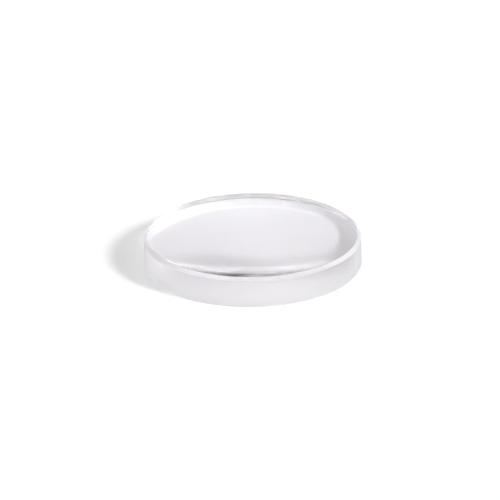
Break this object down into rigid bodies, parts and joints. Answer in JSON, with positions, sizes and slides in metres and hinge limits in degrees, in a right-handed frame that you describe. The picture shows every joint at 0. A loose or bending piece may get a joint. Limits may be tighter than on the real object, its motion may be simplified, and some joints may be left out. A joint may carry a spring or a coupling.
{
  "type": "plano-convex lens",
  "caption": "Round glass lens with one flat face, one gently domed face, a fine-ground cylindrical edge and small ground bevels.",
  "frame": {"origin": "centre of the plano face, which the lens rests on", "axes": "+Z along the optical axis, from the plano face to the vertex of the convex face; X and Y are equal by symmetry"},
  "size_m": [0.0254, 0.0254, 0.0044],
  "materials": {
    "optical_glass": "optically polished plano and convex faces, fine-ground edge and bevels"
  },
  "bodies": {
    "root": {"lens": "optical_glass"}
  },
  "joints": []
}
